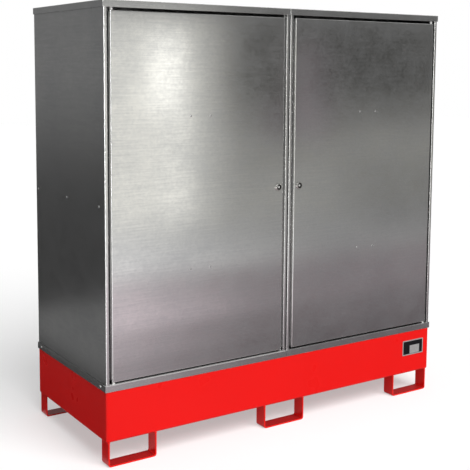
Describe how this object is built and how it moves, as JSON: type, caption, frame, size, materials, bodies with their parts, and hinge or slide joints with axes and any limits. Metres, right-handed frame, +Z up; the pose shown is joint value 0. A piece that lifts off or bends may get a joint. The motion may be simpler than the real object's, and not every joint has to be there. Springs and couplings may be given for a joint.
{
  "type": "dangerous goods storage cabinet",
  "caption": "Two-door sheet-steel storage cabinet for dangerous goods on a red sump tray with bent flat-bar feet, quarter-turn locks, shelves and bar gratings.",
  "frame": {"origin": "on the floor under the middle of the object's bounding box", "axes": "+X to the right for someone facing the doors, -Y out of the doors, +Z up"},
  "size_m": [1.7454, 0.708, 1.815],
  "materials": {
    "red_enamel": "glossy red enamel",
    "galvanised_sheet": "zinc-coated sheet with fine rolling lines",
    "door_sheet": "zinc-coated sheet with fine level rolling lines, glossy",
    "bright_steel": "bright plated steel",
    "white_nylon": "moulded white nylon",
    "hot_dip_zinc": "dull hot-dip zinc",
    "dark_plate": "black-faced plate, blank"
  },
  "bodies": {
    "cabinet": {"front_centre_foot": "red_enamel", "front_grating_support": "red_enamel", "front_left_foot": "red_enamel", "front_right_foot": "red_enamel", "left_back_panel": "galvanised_sheet", "left_base_frame": "galvanised_sheet", "left_bottom_rail": "galvanised_sheet", "left_grating": "hot_dip_zinc", "left_inner_panel": "galvanised_sheet", "left_inner_shelf_rail": "galvanised_sheet", "left_lower_pivot_bush": "white_nylon", "left_outer_panel": "galvanised_sheet", "left_outer_shelf_rail": "galvanised_sheet", "left_roof": "galvanised_sheet", "left_shelf": "galvanised_sheet", "left_top_rail": "galvanised_sheet", "left_upper_pivot_bush": "white_nylon", "rear_centre_foot": "red_enamel", "rear_grating_support": "red_enamel", "rear_left_foot": "red_enamel", "rear_right_foot": "red_enamel", "right_back_panel": "galvanised_sheet", "right_base_frame": "galvanised_sheet", "right_bottom_rail": "galvanised_sheet", "right_grating": "hot_dip_zinc", "right_inner_panel": "galvanised_sheet", "right_inner_shelf_rail": "galvanised_sheet", "right_lower_pivot_bush": "white_nylon", "right_outer_panel": "galvanised_sheet", "right_outer_shelf_rail": "galvanised_sheet", "right_roof": "galvanised_sheet", "right_shelf": "galvanised_sheet", "right_top_rail": "galvanised_sheet", "right_upper_pivot_bush": "white_nylon", "sump_tray": "red_enamel", "type_plate": "dark_plate"},
    "left_door_leaf": {"left_door": "door_sheet", "left_door_stiffener": "galvanised_sheet", "left_lock_housing": "bright_steel", "left_lock_nut": "bright_steel", "left_lower_pivot_pin": "bright_steel", "left_upper_pivot_pin": "bright_steel"},
    "right_door_leaf": {"right_door": "door_sheet", "right_door_stiffener": "galvanised_sheet", "right_lock_housing": "bright_steel", "right_lock_nut": "bright_steel", "right_lower_pivot_pin": "bright_steel", "right_upper_pivot_pin": "bright_steel"},
    "left_lock_turn": {"left_cam_screw": "bright_steel", "left_lock_cam": "bright_steel", "left_lock_spindle": "bright_steel"},
    "right_lock_turn": {"right_cam_screw": "bright_steel", "right_lock_cam": "bright_steel", "right_lock_spindle": "bright_steel"}
  },
  "joints": [
    {"name": "left_door_hinge", "type": "hinge", "parent": "cabinet", "child": "left_door_leaf", "pos_m": [-0.832, -0.3362, 0.3413], "axis": [0, 0, -1], "range_deg": [0, 110]},
    {"name": "right_door_hinge", "type": "hinge", "parent": "cabinet", "child": "right_door_leaf", "pos_m": [0.832, -0.3362, 0.3413], "axis": [0, 0, 1], "range_deg": [0, 110]},
    {"name": "left_lock_quarter_turn", "type": "hinge", "parent": "left_door_leaf", "child": "left_lock_turn", "pos_m": [-0.055, -0.346, 1.059], "axis": [0, -1, 0], "range_deg": [0, 90]},
    {"name": "right_lock_quarter_turn", "type": "hinge", "parent": "right_door_leaf", "child": "right_lock_turn", "pos_m": [0.055, -0.346, 1.059], "axis": [0, 1, 0], "range_deg": [0, 90]}
  ]
}
